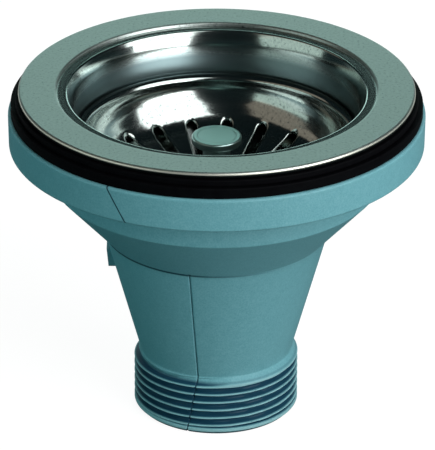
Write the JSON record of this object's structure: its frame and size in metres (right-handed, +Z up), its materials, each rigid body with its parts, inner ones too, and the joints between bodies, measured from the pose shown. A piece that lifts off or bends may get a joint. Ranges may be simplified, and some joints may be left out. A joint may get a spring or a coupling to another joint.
{
  "type": "basket strainer waste",
  "caption": "Kitchen sink basket strainer waste: a grey moulded body with a threaded outlet, a pressed stainless cup and flange, and a slotted lift-out basket with a knob.",
  "frame": {"origin": "centre of the outlet's end face, which is the part's lowest plane", "axes": "+Z up along the waste's axis towards the flange, -Y towards the picture's viewer, the small lug on the cone at -X"},
  "size_m": [0.12, 0.12, 0.1],
  "materials": {
    "grey_polypropylene": "moulded, semi-gloss",
    "pressed_stainless": "pressed and polished",
    "black_rubber": "moulded",
    "turned_brass": "turned",
    "bright_steel": "turned, bright",
    "chromed_brass": "turned and plated"
  },
  "bodies": {
    "drain": {"waste_body": "grey_polypropylene", "strainer_cup": "pressed_stainless", "flange_gasket": "black_rubber", "body_gasket": "black_rubber", "brass_insert": "turned_brass", "screw_washer": "bright_steel", "fixing_screw": "bright_steel"},
    "basket": {"basket": "pressed_stainless", "basket_knob": "chromed_brass", "basket_pin": "bright_steel", "pin_ring": "black_rubber", "plug_seal": "black_rubber", "seal_washer": "bright_steel", "retaining_clip": "bright_steel"}
  },
  "joints": [
    {"name": "basket_lift", "type": "slide", "parent": "drain", "child": "basket", "axis": [0, 0, 1], "range_m": [0, 0.012]}
  ]
}
